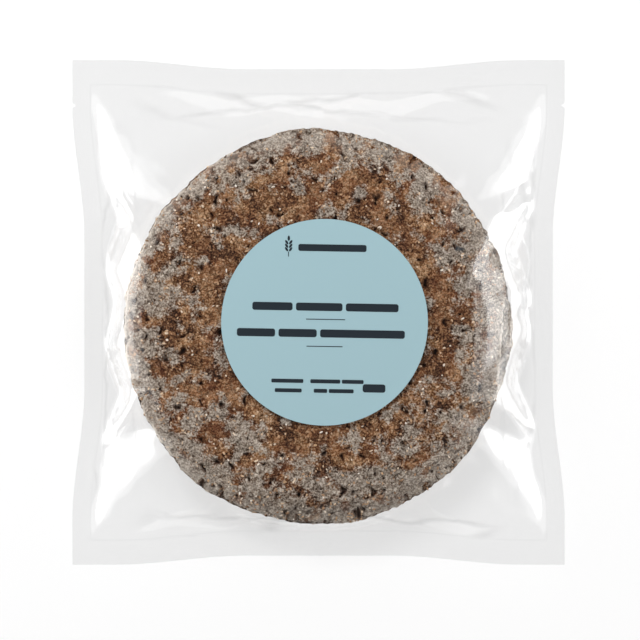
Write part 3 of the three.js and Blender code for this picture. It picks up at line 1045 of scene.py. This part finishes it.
def add_ground():
    """The lit table under the pack, which is stage and no part of it."""
    points = [(GROUND_HALF * x, GROUND_HALF * y, 0) for x, y in ((-1, -1), (1, -1), (1, 1), (-1, 1))]
    ground = mesh_object("ground", points, [(0, 1, 2, 3)], white_ground(), soft=False)


# ---- the pack


def own(piece, slot, *nodes):
    """Hangs a piece on the root body, and hides the solids that it replaces. Its slot is not used."""
    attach(piece, "root")
    if nodes:
        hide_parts(*nodes)
    return piece


def sharpen_outline(film, rows, columns):
    """Marks the film's cut edge as sharp, so that the sheets stay flat right up to it."""
    grid = np.zeros((2, rows, columns), bool)
    grid[:, [0, -1]] = True
    grid[:, :, [0, -1]] = True
    rim = grid.ravel()
    mesh = film.data
    ends = np.empty(2 * len(mesh.edges), int)
    mesh.edges.foreach_get("vertices", ends)
    sharp = mesh.attributes.new("sharp_edge", "BOOLEAN", "EDGE")
    sharp.data.foreach_set("value", rim[ends.reshape(-1, 2)].all(1))


def film_slack(x, y):
    """How slack the film is along the side and end seals, and how far inside the weld a place is."""
    side, end = from_seals(x, y, WIDTH / 2, LENGTH / 2)
    weld = np.minimum(side, end)
    inside = eased(weld, -SLACK_WELD, SLACK_WELD)
    from_middle = np.hypot(x - BREAD_X, y - BREAD_Y)
    beside = eased(from_middle, BREAD_RADIUS - SLACK_PAST_RIM, BREAD_RADIUS)
    along_side = SLACK_MOST * beside * inside * eased(side, *SLACK_OFF_SIDE)
    along_side *= eased(end, *SLACK_FROM_END)
    along_end = inside * eased(end, *SLACK_OFF_END) * eased(side, *SLACK_FROM_SIDE)
    return {"slack_side": along_side, "slack_end": along_end, "weld": weld}


def add_film():
    """The film, and the height of its top under the label."""
    sheets = drape()
    rows, columns = sheets.shape[1:3]
    sheets[0, ..., 2] += SHEET_GAP / 2
    sheets[1, ..., 2] -= SHEET_GAP / 2
    points = sheets.reshape(-1, 3) + np.array([0, 0, HALF])
    film = mesh_object("film", points, film_faces(rows, columns), clear_film())
    sharpen_outline(film, rows, columns)
    for name, slack in film_slack(points[:, 0], points[:, 1]).items():
        film.data.attributes.new(name, "FLOAT", "POINT").data.foreach_set("value", slack)
    own(film, "film", "pouch")
    from_label = np.hypot(points[:, 0] - LABEL_X, points[:, 1] - LABEL_Y)
    return points[from_label < LABEL_RADIUS + LABEL_ROUND, 2].max()


def add_breads():
    """The four pitas, and the bran that lies on the outer two."""
    crust = wholemeal_crust()
    relief = crust_relief()
    made = []
    for i in range(BREAD_COUNT):
        bread = pita(i, crust)
        bake_tree(bread, relief, {"Seed": RELIEF_STEP * i, "Material": crust})
        made.append(own(bread, "film"))
    points, faces = [], []
    for mesh in (made[0].data, made[-1].data):
        first = len(points)
        points += [tuple(v.co / MM) for v in mesh.vertices]
        faces += [[first + k for k in p.vertices] for p in mesh.polygons]
    bran = mesh_object("bran_flakes", points, faces, None)
    bake_tree(bran, bran_scatter(), {"Material": toasted_bran()})
    own(bran, "film")


def slab(outline, low, high):
    """Points and faces of a flat plate of any outline, counter-clockwise, between two heights."""
    sides = len(outline)
    points = [(x, y, low) for x, y in outline] + [(x, y, high) for x, y in outline]
    faces = [tuple(range(sides))[::-1], tuple(range(sides, 2 * sides))]
    faces += [(i, (i + 1) % sides, sides + (i + 1) % sides, sides + i) for i in range(sides)]
    return points, faces


def rounded_bar(length, height, corner):
    """Outline of a bar with rounded ends about its middle."""
    outline = []
    for turn in range(0, 360, BAR_TURN):
        angle = math.radians(turn + BAR_TURN / 2)
        across, up = math.cos(angle), math.sin(angle)
        x = math.copysign(length / 2 - corner, across) + corner * across
        y = math.copysign(height / 2 - corner, up) + corner * up
        outline.append((x, y))
    return outline


def grain_of_wheat(length, width, turn, place):
    """Outline of one pointed grain, turned about its lower tip."""
    outline = []
    for i in range(EAR_POINTS):
        angle = 2 * math.pi * i / EAR_POINTS
        across = width / 2 * math.sin(angle) * abs(math.sin(angle)) ** EAR_BLUNT
        along = length / 2 * (1 - math.cos(angle))
        cos, sin = math.cos(turn), math.sin(turn)
        outline.append((place[0] - across * cos - along * sin, place[1] - across * sin + along * cos))
    return outline[::-1]


def print_shapes():
    """Outlines of the label's print about its middle: lines of word bars, rules and an ear."""
    shapes = []
    for middle_x, middle_y, height, words in PRINT_LINES:
        gap = WORD_GAP * height
        along = middle_x - (sum(words) + gap * (len(words) - 1)) / 2
        for word in words:
            bar = rounded_bar(word, height, WORD_CORNER * height)
            shapes.append([(x + along + word / 2, y + middle_y) for x, y in bar])
            along += word + gap
    for middle_x, middle_y, length in PRINT_RULES:
        rule = rounded_bar(length, RULE_HIGH, RULE_CORNER)
        shapes.append([(x + middle_x, y + middle_y) for x, y in rule])
    ear_x, ear_y = PRINT_EAR
    for row in range(EAR_ROWS):
        for side in (-1, 1):
            root = (ear_x + EAR_APART * side, ear_y + EAR_PITCH * row)
            shapes.append(grain_of_wheat(*EAR_GRAIN, -EAR_LEAN * side, root))
    shapes.append(grain_of_wheat(*EAR_TIP, 0.0, (ear_x, ear_y + EAR_TIP_UP)))
    stalk = rounded_bar(*EAR_STALK, EAR_STALK_CORNER)
    shapes.append([(x + ear_x, y + ear_y - EAR_STALK_DOWN) for x, y in stalk])
    return shapes


def add_label(film_top):
    """The paper label on the film, and the print on it, a little turned clockwise."""
    ring = np.linspace(0, 2 * math.pi, LABEL_SIDES, endpoint=False)
    rim = [(LABEL_RADIUS * math.cos(a), LABEL_RADIUS * math.sin(a)) for a in ring]
    low = film_top + LABEL_GAP
    high = low + LABEL_PAPER
    turn = math.radians(LABEL_TURN)
    cos, sin = math.cos(turn), math.sin(turn)

    def placed(outline):
        return [(LABEL_X + x * cos + y * sin, LABEL_Y - x * sin + y * cos) for x, y in outline]

    points, faces = slab(placed(rim), low, high)
    label = mesh_object("label", points, faces, label_paper(), soft=False)
    own(label, "label_paper", "label")
    points, faces = [], []
    for outline in print_shapes():
        plate, plate_faces = slab(placed(outline), high + INK_GAP, high + INK_GAP + INK)
        faces += [tuple(len(points) + i for i in f) for f in plate_faces]
        points += plate
    ink = mesh_object("label_print", points, faces, navy_ink(), soft=False)
    own(ink, "label_paper")


bpy.context.scene.view_settings.view_transform = "Standard"
add_camera()
add_lights()
add_ground()
film_top = add_film()
add_breads()
add_label(film_top)
